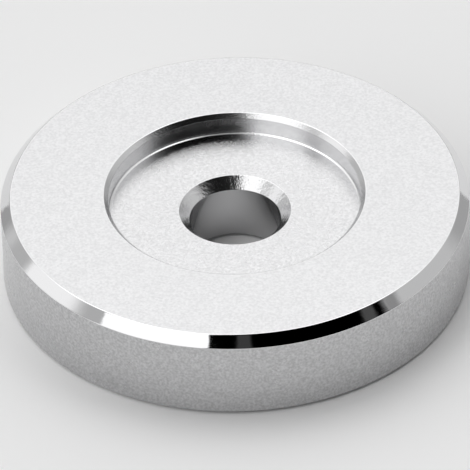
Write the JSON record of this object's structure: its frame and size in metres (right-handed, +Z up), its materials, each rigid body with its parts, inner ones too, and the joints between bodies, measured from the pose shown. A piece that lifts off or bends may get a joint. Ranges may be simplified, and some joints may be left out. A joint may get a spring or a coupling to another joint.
{
  "type": "record spindle adapter",
  "caption": "Turned aluminium disc that centres a large-hole single on a record spindle: bevelled rim, shallow recess and countersunk through bore.",
  "frame": {"origin": "middle of the underside, on the bore's axis", "axes": "+Z up along the bore, from the underside to the recessed top face; X and Y are arbitrary, as the disc is round"},
  "size_m": [0.038, 0.038, 0.0075],
  "materials": {
    "aluminium": "bead-blasted satin faces with diamond-cut bright bevels"
  },
  "bodies": {
    "root": {"adapter": "aluminium"}
  },
  "joints": []
}
